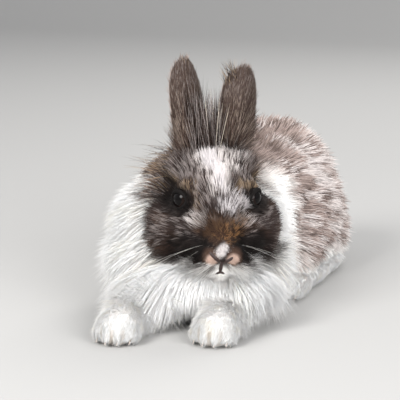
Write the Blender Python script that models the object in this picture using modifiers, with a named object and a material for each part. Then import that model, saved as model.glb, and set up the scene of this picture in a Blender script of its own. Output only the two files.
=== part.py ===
"""A young lionhead rabbit at life size, crouched with its forepaws forward and its head turned to its left.

Metres, +Z up. The rabbit faces -Y, its left side is +X, and the origin lies on the floor under its belly.
"""

import math
from random import Random

import bmesh
import bpy
from mathutils import Matrix, Vector
from mathutils.bvhtree import BVHTree

MM = 0.001
GAP = 0.3 * MM              # between touching nodes
CLEARANCE = 0.7 * MM        # how far a neighbour is grown before it cuts a node
CUTTER_TRIANGLES = 480      # a grown neighbour is made no coarser than this
FLOOR_SLAB = 60 * MM
FACING = Vector((0, -1, 0))
UP = Vector((0, 0, 1))

# Driving sizes, in millimetres
HEAD_CENTRE = (12.7, -79.0, 75.0)
HEAD_YAW = 31.0             # degrees to the rabbit's left
MANE_CENTRE = (-2.5, -69.5, 52.0)
MANE_YAW = 25.0
EYE_RADIUS = 7.6
EYE_PLACE = (20.6, -18.5, 6.5)      # in the head, for the left eye
EYE_AXIS = (0.80, -0.58, 0.14)
EAR_HALF_WIDTH = 17.0
RUMP_Y = 50.0
TAIL_PLACE = (0.0, 106.0, 30.0)

SIDES = {"left": 1, "right": -1}

COAT = {
    "marled": ((0.20, 0.16, 0.15), 0.85),
    "white": ((0.80, 0.77, 0.74), 0.85),
    "ear": ((0.22, 0.17, 0.15), 0.8),
    "eye": ((0.012, 0.008, 0.006), 0.08),
}
COAT_OF = {"eye": "eye", "ear": "ear", "mane": "white", "foreleg": "white", "hind": "white"}


def clear_scene():
    for obj in list(bpy.data.objects):
        bpy.data.objects.remove(obj, do_unlink=True)


def material(name):
    """The Principled material of one part of the coat."""
    made = bpy.data.materials.get(name)
    if made:
        return made
    colour, roughness = COAT[name]
    made = bpy.data.materials.new(name)
    made.use_nodes = True
    shader = made.node_tree.nodes["Principled BSDF"]
    shader.inputs["Base Color"].default_value = (*colour, 1)
    shader.inputs["Roughness"].default_value = roughness
    shader.inputs["Metallic"].default_value = 0
    return made


def mm(values):
    return Vector(values) * MM


def head_place():
    return Matrix.Translation(mm(HEAD_CENTRE)) @ Matrix.Rotation(math.radians(HEAD_YAW), 4, "Z")


def new_object(name, bm, collection):
    mesh = bpy.data.meshes.new(name)
    bm.to_mesh(mesh)
    bm.free()
    obj = bpy.data.objects.new(name, mesh)
    collection.objects.link(obj)
    return obj


def bake(obj):
    """Applies the object's modifiers to its mesh."""
    bpy.context.view_layer.update()
    graph = bpy.context.evaluated_depsgraph_get()
    mesh = bpy.data.meshes.new_from_object(obj.evaluated_get(graph))
    obj.modifiers.clear()
    obj.data = mesh


def add_ellipsoid(bm, centre, radii, turn=(0, 0, 0), place=Matrix.Identity(4)):
    """An ellipsoid of centre and radii in millimetres, turned by degrees, in a frame."""
    turned = Matrix.Identity(4)
    for axis, degrees in zip("XYZ", turn):
        turned = Matrix.Rotation(math.radians(degrees), 4, axis) @ turned
    size = Matrix.Diagonal((*mm(radii), 1))
    matrix = place @ Matrix.Translation(mm(centre)) @ turned @ size
    bmesh.ops.create_icosphere(bm, subdivisions=4, radius=1, matrix=matrix)


def soft_form(name, blobs, collection, triangles, voxel=1.6, smoothing=12, place=Matrix.Identity(4)):
    """One smooth closed form that runs through overlapping ellipsoids."""
    bm = bmesh.new()
    for blob in blobs:
        add_ellipsoid(bm, *blob, place=place)
    obj = new_object(name, bm, collection)
    remesh = obj.modifiers.new("Remesh", "REMESH")
    remesh.mode = "VOXEL"
    remesh.voxel_size = voxel * MM
    smooth = obj.modifiers.new("Smooth", "SMOOTH")
    smooth.factor = 0.6
    smooth.iterations = smoothing
    bake(obj)
    thin_out(obj, triangles)
    return obj


def thin_out(obj, triangles):
    """Brings a form down to a number of triangles."""
    have = sum(len(face.vertices) - 2 for face in obj.data.polygons)
    if have > triangles:
        decimate = obj.modifiers.new("Decimate", "DECIMATE")
        decimate.ratio = triangles / have
        bake(obj)


def grown(obj, by=CLEARANCE):
    """A copy of the form, grown along its normals and made coarser, that clears a neighbour."""
    copy = bpy.data.objects.new(obj.name + "_grown", obj.data.copy())
    bpy.context.scene.collection.objects.link(copy)
    bm = bmesh.new()
    bm.from_mesh(copy.data)
    bm.normal_update()
    for vertex in bm.verts:
        vertex.co += vertex.normal * by
    bm.to_mesh(copy.data)
    bm.free()
    thin_out(copy, max(CUTTER_TRIANGLES, len(copy.data.polygons) // 2))
    return copy


def combine(obj, tools, operation, solver="MANIFOLD"):
    """Joins obj with closed tools, or cuts it by them, in one Boolean on their collection."""
    group = bpy.data.collections.new("tools")
    bpy.context.scene.collection.children.link(group)
    for tool in tools:
        for home in list(tool.users_collection):
            home.objects.unlink(tool)
        group.objects.link(tool)
    modifier = obj.modifiers.new("Combine", "BOOLEAN")
    modifier.operand_type = "COLLECTION"
    modifier.collection = group
    modifier.operation = operation
    modifier.solver = solver
    bake(obj)
    for tool in tools:
        bpy.data.objects.remove(tool, do_unlink=True)
    bpy.data.collections.remove(group)
    keep_largest(obj)


def keep_largest(obj):
    """Drops every closed surface but the one of greatest volume."""
    bm = bmesh.new()
    bm.from_mesh(obj.data)
    bmesh.ops.triangulate(bm, faces=bm.faces)
    left, shells = set(bm.faces), []
    while left:
        shell, front = set(), [next(iter(left))]
        while front:
            face = front.pop()
            if face in shell:
                continue
            shell.add(face)
            front += [other for edge in face.edges for other in edge.link_faces if other not in shell]
        left -= shell
        shells.append(shell)
    if len(shells) > 1:
        largest = max(shells, key=shell_volume)
        loose = [face for shell in shells if shell is not largest for face in shell]
        bmesh.ops.delete(bm, geom=loose, context="FACES")
    bmesh.ops.dissolve_degenerate(bm, dist=0.002 * MM, edges=bm.edges)
    bmesh.ops.triangulate(bm, faces=bm.faces)
    bm.to_mesh(obj.data)
    bm.free()


def shell_volume(shell):
    corners = [[vertex.co for vertex in face.verts] for face in shell]
    return sum(a.dot(b.cross(c)) for a, b, c in corners)


def floor_cutter():
    bm = bmesh.new()
    size = Matrix.Diagonal((1, 1, FLOOR_SLAB, 1))
    bmesh.ops.create_cube(bm, size=1, matrix=Matrix.Translation((0, 0, -FLOOR_SLAB / 2)) @ size)
    return new_object("floor_cutter", bm, bpy.context.scene.collection)


def half_space(point, normal, size=0.5):
    """A big block that fills the side of a plane to which the normal points."""
    turned = UP.rotation_difference(Vector(normal)).to_matrix().to_4x4()
    bm = bmesh.new()
    matrix = Matrix.Translation(mm(point)) @ turned @ Matrix.Translation((0, 0, size / 2))
    bmesh.ops.create_cube(bm, size=size, matrix=matrix)
    return new_object("half_space", bm, bpy.context.scene.collection)


def mirrored(blob, side):
    centre, radii, *turn = blob
    rx, ry, rz = turn[0] if turn else (0, 0, 0)
    return (side * centre[0], *centre[1:]), radii, (rx, side * ry, side * rz)


# Head
SKULL = [
    ((0, 4, 5), (29, 33, 30)),
    ((0, -12, 9), (22, 26, 21)),
    ((0, -28, -8), (14, 20, 17), (-28, 0, 0)),
    ((0, -38, -20), (12.5, 13, 12)),
    ((0, -46.5, -21), (6.5, 5.5, 5.5)),
    ((0, -34, -35), (9, 10, 8)),
    ((0, -12, -24), (22, 27, 20)),
    ((0, -20, -2), (19, 22, 21)),
]
CHEEK = [
    ((22.5, -6, -14), (19, 25, 23)),
    ((17, -22, -17), (13, 17, 15)),
    ((8, -41, -26), (9.5, 9, 8.5)),
    ((16, -12, 13), (11, 14, 9)),
]
LID_RING = 6.9
LID_THICKNESS = 1.7


def eye_place(side):
    """The frame of an eyeball, with its Z along the line of sight."""
    axis = Vector((side * EYE_AXIS[0], EYE_AXIS[1], EYE_AXIS[2])).normalized()
    turned = UP.rotation_difference(axis).to_matrix().to_4x4()
    centre = mm((side * EYE_PLACE[0], EYE_PLACE[1], EYE_PLACE[2]))
    return head_place() @ Matrix.Translation(centre) @ turned


def eyeball(name, side, collection, radius=EYE_RADIUS):
    bm = bmesh.new()
    bmesh.ops.create_uvsphere(bm, u_segments=18, v_segments=10, radius=radius * MM, matrix=eye_place(side))
    return new_object(name, bm, collection)


def lid_rim(side):
    """The rim of both lids, as a ring about the eyeball, a little wider than it is high."""
    bpy.ops.mesh.primitive_torus_add(
        major_segments=20, minor_segments=6, major_radius=LID_RING * MM, minor_radius=LID_THICKNESS * MM
    )
    rim = bpy.context.object
    rim.name = "lid_rim"
    rim.data.transform(eye_place(side) @ Matrix.Translation((0, 0, 3.4 * MM)))
    return rim


def tube(name, points, radius, ends=0.35):
    """A closed tube through points, thinner at its ends."""
    curve = bpy.data.curves.new(name, "CURVE")
    curve.dimensions = "3D"
    curve.bevel_depth = radius * MM
    curve.bevel_resolution = 1
    curve.use_fill_caps = True
    spline = curve.splines.new("POLY")
    spline.points.add(len(points) - 1)
    for index, (point, place) in enumerate(zip(spline.points, points)):
        point.co = (*place, 1)
        share = abs(2 * index / (len(points) - 1) - 1)
        point.radius = 1 - (1 - ends) * share**3
    obj = bpy.data.objects.new(name, curve)
    bpy.context.scene.collection.objects.link(obj)
    bpy.context.view_layer.update()
    mesh = bpy.data.meshes.new_from_object(obj.evaluated_get(bpy.context.evaluated_depsgraph_get()))
    bpy.data.objects.remove(obj, do_unlink=True)
    bm = bmesh.new()
    bm.from_mesh(mesh)
    bmesh.ops.remove_doubles(bm, verts=bm.verts, dist=0.01 * MM)
    bmesh.ops.recalc_face_normals(bm, faces=bm.faces)
    return new_object(name, bm, bpy.context.scene.collection)


def face_points(tree, outline, sink):
    """Points on the front of the head, given across and up in millimetres, sunk by some depth."""
    place = head_place()
    found = []
    for across, height in outline:
        start = place @ mm((across, -90, height))
        hit = tree.ray_cast(start, place.to_3x3() @ -FACING)[0]
        found.append(hit + place.to_3x3() @ mm((0, sink, 0)))
    return found


def curved(start, bend, end, steps=6):
    """Points along a parabola through three places."""
    made = []
    for index in range(steps + 1):
        t = index / steps
        made.append(tuple(
            (1 - t) ** 2 * a + 2 * t * (1 - t) * b + t * t * c for a, b, c in zip(start, bend, end)
        ))
    return made


def build_head(collection):
    blobs = SKULL + [mirrored(blob, side) for blob in CHEEK for side in SIDES.values()]
    head = soft_form("head", blobs, collection, triangles=1800, voxel=1.3, smoothing=20, place=head_place())
    tree = BVHTree.FromObject(head, bpy.context.evaluated_depsgraph_get())
    grooves = [
        tube("philtrum", face_points(tree, curved((0, -26), (0, -31), (0, -35.5)), 0.2), 0.8),
        *(
            tube("lip_line", face_points(
                tree, curved((0, -35), (side * 4, -37.5), (side * 10, -35)), 0.2), 0.8)
            for side in SIDES.values()
        ),
        *(
            tube("nostril", face_points(
                tree, curved((side * 1.6, -25.6), (side * 5.4, -23.5), (side * 7.6, -19)), 0.4), 1.1)
            for side in SIDES.values()
        ),
    ]
    combine(head, [lid_rim(side) for side in SIDES.values()], "UNION")
    combine(head, grooves, "DIFFERENCE")
    sockets = [
        eyeball("socket", side, bpy.context.scene.collection, EYE_RADIUS + GAP / MM)
        for side in SIDES.values()
    ]
    combine(head, sockets, "DIFFERENCE")
    return head


# Locks of wool: flat, tapered, bent along their lie
LOCK_CUTS = 2
LOCK_SINK = 3.5


def lock(root, way, flat, length, width, thickness, droop):
    """A lock from root along way, its flat side facing flat, its tip bent by droop. Sizes in millimetres."""
    way = way.normalized()
    side = way.cross(flat).normalized()
    face = side.cross(way)
    bm = bmesh.new()
    bmesh.ops.create_cone(bm, segments=4, radius1=1, radius2=0, depth=1, cap_ends=True)
    bmesh.ops.remove_doubles(bm, verts=bm.verts, dist=1e-4)
    long_edges = [edge for edge in bm.edges if abs(edge.verts[0].co.z - edge.verts[1].co.z) > 0.5]
    bmesh.ops.subdivide_edges(bm, edges=long_edges, cuts=LOCK_CUTS)
    bmesh.ops.rotate(bm, verts=bm.verts, matrix=Matrix.Rotation(math.radians(45), 3, "Z"))
    for vertex in bm.verts:
        t = vertex.co.z + 0.5
        taper = 1 - t
        spread = 0 if taper < 1e-4 else math.sin(math.pi * (0.30 + 0.70 * t)) ** 0.75 / taper
        across = vertex.co.x * width / 2 * spread
        deep = vertex.co.y * thickness / 2 * spread * (0.55 + 0.45 * taper)
        along = length * t - LOCK_SINK * taper
        vertex.co = root + (way * along + side * across + face * deep) * MM + droop * (MM * t * t)
    bmesh.ops.recalc_face_normals(bm, faces=bm.faces)
    return new_object("lock", bm, bpy.context.scene.collection)


def surface(tree, start, toward):
    """The place and normal where a ray meets a form, or None."""
    place, normal = tree.ray_cast(start, toward)[:2]
    return None if place is None else (place, normal)


# Ears, each a leaf rolled into a cup. Roots and tips are in the head's frame.
EARS = {
    "right": {"root": (-9, 14, 24), "tip": (-15.5, 30, 90), "opening": (-0.60, 0.80, 0)},
    "left": {"root": (13.5, 14, 24), "tip": (26, 36, 83.5), "opening": (-0.35, 0.94, 0)},
}
EAR_WALL = 2.0
EAR_WIDEST = 0.42


def ear_half_width(t):
    if t < EAR_WIDEST:
        return EAR_HALF_WIDTH * (0.84 + 0.16 * math.sin(t / EAR_WIDEST * math.pi / 2))
    return EAR_HALF_WIDTH * math.sqrt(max(0.0, 1 - ((t - EAR_WIDEST) / (1 - EAR_WIDEST)) ** 3.2))


def ear_roll(t):
    """How far the leaf is rolled up, in radians from edge to edge."""
    return 3.7 - 1.6 * min(1, t / 0.8) ** 0.6


def build_ear(name, root, tip, opening, collection):
    place = head_place()
    root, tip = place @ mm(root), place @ mm(tip)
    along = (tip - root).normalized()
    length = (tip - root).length
    mouth = place.to_3x3() @ Vector(opening)
    mouth = (mouth - along * mouth.dot(along)).normalized()
    across = along.cross(mouth)
    bm = bmesh.new()
    columns, rows = 9, 11
    bmesh.ops.create_grid(bm, x_segments=columns, y_segments=rows, size=1)
    for vertex in bm.verts:
        u, t = vertex.co.x, math.sin((vertex.co.y + 1) / 2 * math.pi / 2)
        half = ear_half_width(t) * MM
        roll = ear_roll(t)
        radius = 2 * half / roll
        angle = u * roll / 2
        swing = 3.5 * MM * math.sin(t * math.pi)
        vertex.co = (
            root + along * (length * t)
            - mouth * (math.cos(angle) * radius - radius + swing)
            + across * (math.sin(angle) * radius)
        )
    bmesh.ops.remove_doubles(bm, verts=bm.verts, dist=0.2 * MM)
    ear = new_object(name, bm, collection)
    wall = ear.modifiers.new("Wall", "SOLIDIFY")
    wall.thickness = EAR_WALL * MM
    wall.offset = 0
    bake(ear)
    bm = bmesh.new()
    bm.from_mesh(ear.data)
    bmesh.ops.recalc_face_normals(bm, faces=bm.faces)
    bmesh.ops.triangulate(bm, faces=bm.faces)
    bm.to_mesh(ear.data)
    bm.free()
    return ear


# Body
TORSO = [
    ((0, -40, 50), (41, 46, 47)),
    ((0, -6, 54), (45, 54, 51)),
    ((0, 24, 56), (46, 52, 53)),
    ((0, RUMP_Y, 57), (48, 52, 55)),
    ((0, 80, 46), (38, 32, 42)),
    ((0, 20, 22), (40, 70, 24)),
]
THIGH = [
    ((32, 46, 45), (22, 42, 40), (0, -8, 0)),
    ((35, 28, 38), (19, 38, 34), (0, -7, 0)),
    ((38, 10, 29), (16, 27, 26), (0, -6, 0)),
    ((33, 68, 28), (19, 27, 27)),
]
HIND_FOOT = [
    ((41, 52, 9), (12, 26, 11)),
    ((43, 18, 8.5), (12, 34, 10)),
    ((44, -14, 8), (13, 16, 9.5)),
]
HIND_TOES = [(-8.0, -22, 4.6), (-2.8, -26, 5.0), (2.8, -26, 5.0), (8.0, -22, 4.6)]
FOREARMS = {
    "right": {"elbow": (-29, -84, 14), "wrist": (-20, -138, 11), "toes": (-13.5, -171, 9)},
    "left": {"elbow": (31, -64, 14), "wrist": (37, -116, 11), "toes": (41.5, -149, 9)},
}
TAIL = [
    ((0, 2, 2), (14, 12, 17)),
    ((0, 6, 14), (10.5, 9, 13)),
    ((0, -9, -2), (13, 13, 15)),
]
SHOULDER_PLANE = ((0, -44, 50), (0.22, -1, 0.12))


def limb_blobs(points, sizes):
    """Ellipsoids strung between places, each as big as the size there, so that they make a limb."""
    blobs = []
    for (a, b), (ra, rb) in zip(zip(points, points[1:]), zip(sizes, sizes[1:])):
        for step in range(5):
            t = step / 4
            centre = [p + (q - p) * t for p, q in zip(a, b)]
            radii = [p + (q - p) * t for p, q in zip(ra, rb)]
            blobs.append((centre, radii))
    return blobs


def build_foreleg(side, collection):
    place = FOREARMS[side]
    elbow, wrist, toes = (Vector(place[key]) for key in ("elbow", "wrist", "toes"))
    reach = (toes - wrist).normalized()
    turn = math.degrees(math.atan2(reach.x, -reach.y))
    paw = toes - reach * 13
    blobs = limb_blobs([elbow, wrist, paw], [(13, 13, 14), (12, 12, 11.5), (15, 14, 11.5)])
    across = Vector((reach.y, -reach.x, 0)).normalized()
    for offset, back in ((-10.5, 5.0), (-3.7, 1.0), (3.7, 1.0), (10.5, 5.0)):
        centre = toes + across * offset - reach * (back + 6)
        blobs.append(((centre.x, centre.y, 6.5), (5.3, 9.5, 7.8), (0, 0, turn)))
    return soft_form(f"foreleg_{side}", blobs, collection, triangles=480, voxel=1.3, smoothing=4)


def build_hind_foot(side, collection):
    sign = SIDES[side]
    blobs = [mirrored(blob, sign) for blob in HIND_FOOT]
    for across, forward, radius in HIND_TOES:
        blobs.append(((sign * (44 + across), forward, 6), (radius, 10, 6.8)))
    return soft_form(f"hind_foot_{side}", blobs, collection, triangles=440, voxel=1.3, smoothing=4)


def build_body(collection):
    """Torso, thighs, feet, forelegs and tail, cut to meet face to face."""
    torso = soft_form("torso", TORSO, collection, triangles=1150, voxel=2.5, smoothing=24)
    nodes = {"torso": torso}
    for side, sign in SIDES.items():
        thigh = soft_form(
            f"thigh_{side}", [mirrored(blob, sign) for blob in THIGH], collection, 460,
            voxel=2.0, smoothing=16,
        )
        nodes[f"hind_foot_{side}"] = build_hind_foot(side, collection)
        nodes[f"foreleg_{side}"] = build_foreleg(side, collection)
        nodes[f"thigh_{side}"] = thigh
    nodes["tail"] = soft_form("tail", TAIL, collection, 260, place=Matrix.Translation(mm(TAIL_PLACE)))
    for side in SIDES:
        combine(nodes[f"thigh_{side}"], [grown(nodes[f"hind_foot_{side}"])], "DIFFERENCE")
    limbs = ("thigh", "hind_foot", "foreleg")
    cutters = [grown(nodes[f"{limb}_{side}"]) for limb in limbs for side in SIDES]
    combine(torso, [*cutters, half_space(*SHOULDER_PLANE)], "DIFFERENCE")
    combine(nodes["tail"], [grown(torso)], "DIFFERENCE")
    return nodes


# Mane: a ruff of wool all round the neck and down the chest, over a plain core
MANE_CORE = [
    ((0, 0, -14), (45, 35, 35)),
    ((0, 3, 8), (43, 34, 35)),
    ((0, 8, 24), (36, 30, 28)),
    ((0, -12, -30), (40, 33, 19)),
]
RUFF_RINGS = (-25, -11, 3, 17, 31)     # places along the neck, front to back
RUFF_ANGLES = (36, 57, 78, 99, 120, 141)   # from straight up, on either side
RUFF_LENGTH = {"left": 36, "right": 30}
BIB_ROWS = (-8, -18, -27, -35, -43)
BIB_WIDTH = 42
BIB_OVER_ARM = (0, 1, 2)                # rows that lie forward over the forearms
ARM_FALL = {"left": (0.66, -1, -0.42), "right": (-0.05, -1, -0.40)}     # way of the wool over each forearm
ARM_REACH = {"left": 46, "right": 44}
BIB_LENGTH = (27, 27, 25, 20, 13)
NAPE_RINGS = (10, 21, 32)
NAPE_ANGLES = (-28, -9, 9, 28)
FORELOCK_PLACE = (1.0, 9.0, 33.0)       # in the head, between the ears


def mane_place():
    return Matrix.Translation(mm(MANE_CENTRE)) @ Matrix.Rotation(math.radians(MANE_YAW), 4, "Z")


def combed(normal, lie, lift):
    """The way of a lock that is rooted at a normal, combed toward lie and lifted off the skin."""
    flat = lie - normal * lie.dot(normal)
    return flat.normalized() * (1 - lift) + normal * lift


def ruff_locks(tree, draw):
    """Rings of locks on both sides of the neck: they stand out at the top and hang lower down."""
    place = mane_place()
    turned = place.to_3x3()
    for row, along in enumerate(RUFF_RINGS):
        for angle in RUFF_ANGLES:
            for name, side in SIDES.items():
                shifted = math.radians(angle + 10 * (row % 2) - 4 + draw.uniform(-3, 3))
                out = Vector((side * math.sin(shifted), 0, math.cos(shifted)))
                start = place @ (mm((0, along + draw.uniform(-2, 2), 0)) + out * 0.12)
                found = surface(tree, start, turned @ -out)
                if not found:
                    continue
                root, normal = found
                lie = turned @ Vector((side * 0.25, 0.45 + 0.014 * along, -0.80 + 0.30 * math.cos(shifted)))
                way = combed(normal, lie, 0.24 + 0.22 * math.sin(shifted) ** 2)
                length = RUFF_LENGTH[name] * draw.uniform(0.9, 1.1) * (0.74 + 0.26 * math.sin(shifted) ** 2)
                droop = turned @ Vector((0, 1.0, -3.0 + 2 * math.cos(shifted)))
                yield lock(root, way, normal, length, draw.uniform(18, 22), 4.4, droop)


def bib_locks(tree, draw):
    """Rows of locks down the chest, that fan out to its sides and stop short of the floor."""
    place = mane_place()
    turned = place.to_3x3()
    for row, (height, length) in enumerate(zip(BIB_ROWS, BIB_LENGTH)):
        count = 5 + row % 2
        for index in range(count):
            share = 2 * (index + 0.5) / count - 1
            across = BIB_WIDTH * share + draw.uniform(-2, 2)
            found = surface(tree, place @ mm((across, -120, height)), turned @ -FACING)
            if not found:
                continue
            root, normal = found
            if abs(share) > 0.35 and row in BIB_OVER_ARM:
                arm = "left" if share > 0 else "right"
                way = Vector(ARM_FALL[arm]) + UP * 0.12 * row
                reach = ARM_REACH[arm]
            else:
                way = combed(normal, turned @ Vector((0.5 * share, -0.2, -1)), 0.42)
                reach = length
            droop = turned @ Vector((1.5 * share, 0.5, -1.5))
            yield lock(root, way, normal, reach * draw.uniform(0.9, 1.1), draw.uniform(16, 19), 4.2, droop)


def nape_locks(tree, draw):
    """Rows of locks over the nape, behind the ears, lying back on the shoulders."""
    place = mane_place()
    turned = place.to_3x3()
    for row, along in enumerate(NAPE_RINGS):
        for angle in NAPE_ANGLES:
            shifted = math.radians(angle + 7 * (row % 2) + draw.uniform(-3, 3))
            out = Vector((math.sin(shifted), 0, math.cos(shifted)))
            found = surface(tree, place @ (mm((0, along, 0)) + out * 0.12), turned @ -out)
            if not found:
                continue
            root, normal = found
            way = combed(normal, turned @ Vector((0.3 * math.sin(shifted), 1, 0)), 0.40)
            yield lock(root, way, normal, 23 * draw.uniform(0.9, 1.1), 15, 4.0, turned @ Vector((0, 1, -4)))


def build_mane(collection):
    mane = soft_form("mane", MANE_CORE, collection, 620, voxel=2.0, smoothing=10, place=mane_place())
    tree = BVHTree.FromObject(mane, bpy.context.evaluated_depsgraph_get())
    draw = Random(11)
    locks = [*ruff_locks(tree, draw), *bib_locks(tree, draw), *nape_locks(tree, draw)]
    combine(mane, locks, "UNION", "EXACT")
    return mane


def build_forelock(collection):
    """The tuft on the crown, its locks rising between the ears and falling outward at the sides."""
    place = head_place() @ Matrix.Translation(mm(FORELOCK_PLACE))
    turned = place.to_3x3()
    forelock = soft_form("forelock", [((0, 0, 0), (14, 11, 7))], collection, 90, smoothing=4, place=place)
    draw = Random(5)
    locks = []
    for row, depth in enumerate((-5, 0, 5)):
        for step in range(3):
            share = (step + 0.5 * (row % 2) - 1.25) / 1.5
            root = place @ mm((share * 9, depth, 1))
            way = turned @ Vector((0.32 * share, -0.20 - 0.05 * depth, 1))
            length = draw.uniform(32, 40) * (1 - 0.35 * abs(share))
            droop = turned @ Vector((2.5 * share, 1 + 0.4 * depth, 0))
            flat = turned @ Vector((0.3, -1, 0))
            locks.append(lock(root, way, flat, length, draw.uniform(8, 10), 3.2, droop))
    combine(forelock, locks, "UNION", "EXACT")
    return forelock


def finish_node(obj, coat):
    obj.data.materials.clear()
    obj.data.materials.append(material(coat))
    obj.data.shade_smooth()
    obj.data.set_sharp_from_angle(angle=math.radians(50))


def main():
    clear_scene()
    rabbit = bpy.data.collections.new("lionhead_rabbit")
    bpy.context.scene.collection.children.link(rabbit)
    nodes = build_body(rabbit)
    nodes["head"] = build_head(rabbit)
    for side, sign in SIDES.items():
        nodes[f"eye_{side}"] = eyeball(f"eye_{side}", sign, rabbit)
        ear = build_ear(f"ear_{side}", **EARS[side], collection=rabbit)
        combine(ear, [grown(nodes["head"])], "DIFFERENCE")
        nodes[f"ear_{side}"] = ear
    forelock = build_forelock(rabbit)
    combine(forelock, [grown(nodes[name]) for name in ("head", "ear_left", "ear_right")], "DIFFERENCE")
    nodes["forelock"] = forelock
    mane = build_mane(rabbit)
    solid = [name for name in nodes if not name.startswith(("eye", "tail", "thigh"))]
    combine(mane, [grown(nodes[name]) for name in solid], "DIFFERENCE")
    nodes["mane"] = mane
    for name in ("torso", "foreleg_left", "foreleg_right"):
        combine(nodes[name], [grown(nodes["head"])], "DIFFERENCE")
    for name, obj in nodes.items():
        if not name.startswith(("eye", "ear", "head")):
            combine(obj, [floor_cutter()], "DIFFERENCE")
        finish_node(obj, COAT_OF.get(name.split("_")[0], "marled"))
    root = bpy.data.objects.new("rabbit", None)
    rabbit.objects.link(root)
    for obj in nodes.values():
        obj.parent = root


main()
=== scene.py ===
import math

import bmesh
import bpy
import numpy as np
from mathutils import Matrix, Vector
from mathutils.bvhtree import BVHTree
from mathutils.kdtree import KDTree


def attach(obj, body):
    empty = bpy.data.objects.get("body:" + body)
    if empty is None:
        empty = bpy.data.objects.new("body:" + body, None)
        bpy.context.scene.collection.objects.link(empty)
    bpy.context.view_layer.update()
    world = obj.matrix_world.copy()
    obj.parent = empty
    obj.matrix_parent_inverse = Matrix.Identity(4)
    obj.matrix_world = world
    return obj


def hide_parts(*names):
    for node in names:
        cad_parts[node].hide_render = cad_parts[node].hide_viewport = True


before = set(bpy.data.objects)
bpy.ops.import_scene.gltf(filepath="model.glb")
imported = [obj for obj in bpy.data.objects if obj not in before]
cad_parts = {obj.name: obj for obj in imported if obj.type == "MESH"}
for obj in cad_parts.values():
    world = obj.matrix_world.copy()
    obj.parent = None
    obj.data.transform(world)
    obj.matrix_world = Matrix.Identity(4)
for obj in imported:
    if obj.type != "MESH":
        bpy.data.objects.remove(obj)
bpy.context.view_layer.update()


# The view. A plain pale sweep of paper under and behind the model, three soft
# lamps and a long lens a little above the rabbit's eyes, 25 degrees to its left.

VIEW_TARGET = Vector((0.0046, -0.0828, 0.0767))
VIEW_AZIMUTH = math.radians(25)
VIEW_ELEVATION = math.radians(12)
VIEW_DISTANCE = 0.9
VIEW_LENS = 124.65
LAMP_TARGET = (0, -0.03, 0.07)
AIR_COLOUR = (0.98, 0.98, 1.0, 1)
AIR_STRENGTH = 0.68
PAPER_COLOUR = (0.42, 0.42, 0.415)
SWEEP_FRONT = -3
SWEEP_DEPTH = 2.6
SWEEP_HEIGHT = 2.2
SWEEP_RADIUS = 0.9
SWEEP_HALF_WIDTH = 3
SWEEP_STEPS = 12


def way_to_camera(azimuth, elevation):
    return Vector((
        math.sin(azimuth) * math.cos(elevation),
        -math.cos(azimuth) * math.cos(elevation),
        math.sin(elevation),
    ))


def aim(thing, place, target):
    thing.location = place
    thing.rotation_euler = (Vector(target) - Vector(place)).to_track_quat("-Z", "Y").to_euler()


def soft_lamp(name, place, size, power, tint):
    data = bpy.data.lights.new(name, "AREA")
    data.shape = "DISK"
    data.size = size
    data.energy = power
    data.color = tint
    lamp = bpy.data.objects.new(name, data)
    bpy.context.scene.collection.objects.link(lamp)
    aim(lamp, place, LAMP_TARGET)


def plain_material(name, colour, roughness):
    made = bpy.data.materials.new(name)
    made.use_nodes = True
    shader = made.node_tree.nodes["Principled BSDF"]
    shader.inputs["Base Color"].default_value = (*colour, 1)
    shader.inputs["Roughness"].default_value = roughness
    return made


def linked_object(name, bm, material=None):
    mesh = bpy.data.meshes.new(name)
    bm.to_mesh(mesh)
    bm.free()
    made = bpy.data.objects.new(name, mesh)
    bpy.context.scene.collection.objects.link(made)
    if material:
        mesh.materials.append(material)
    return made


camera_data = bpy.data.cameras.new("photo_view")
camera_data.lens = VIEW_LENS
camera_data.sensor_width = 36
camera = bpy.data.objects.new("photo_view", camera_data)
bpy.context.scene.collection.objects.link(camera)
aim(camera, VIEW_TARGET + way_to_camera(VIEW_AZIMUTH, VIEW_ELEVATION) * VIEW_DISTANCE, VIEW_TARGET)
bpy.context.scene.camera = camera

soft_lamp("key_lamp", (-0.40, -1.30, 1.00), 0.8, 27, (1.0, 0.98, 0.955))
soft_lamp("fill_lamp", (1.25, -0.85, 0.65), 1.1, 24, (1.0, 0.985, 0.98))
soft_lamp("back_lamp", (0.15, 1.2, 1.3), 1.0, 14, (1.0, 0.98, 0.95))
world = bpy.data.worlds.new("studio_air")
world.use_nodes = True
air = world.node_tree.nodes["Background"].inputs
air["Color"].default_value = AIR_COLOUR
air["Strength"].default_value = AIR_STRENGTH
bpy.context.scene.world = world
bpy.context.scene.view_settings.view_transform = "Standard"

bm = bmesh.new()
edge = [bm.verts.new((-SWEEP_HALF_WIDTH, SWEEP_DEPTH, SWEEP_HEIGHT))]
for step in range(SWEEP_STEPS + 1):
    angle = math.pi / 2 * step / SWEEP_STEPS
    edge.append(bm.verts.new((
        -SWEEP_HALF_WIDTH,
        SWEEP_DEPTH - SWEEP_RADIUS * (1 - math.cos(angle)),
        SWEEP_RADIUS * (1 - math.sin(angle)),
    )))
edge.append(bm.verts.new((-SWEEP_HALF_WIDTH, SWEEP_FRONT, 0)))
rows = [bm.edges.new(pair) for pair in zip(edge, edge[1:])]
grown = bmesh.ops.extrude_edge_only(bm, edges=rows)["geom"]
far_side = [item for item in grown if isinstance(item, bmesh.types.BMVert)]
bmesh.ops.translate(bm, verts=far_side, vec=(2 * SWEEP_HALF_WIDTH, 0, 0))
bmesh.ops.recalc_face_normals(bm, faces=bm.faces)
sweep = linked_object("paper_sweep", bm, plain_material("pale_paper", PAPER_COLOUR, 0.9))
sweep.data.shade_smooth()


# The skin. One closed surface under the whole coat, from nose to tail, that
# takes the place of the rabbit's flesh and lies inside it by the coat's depth.
# It is fused from the flesh and the neck's core, then sunk by that depth.

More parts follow.
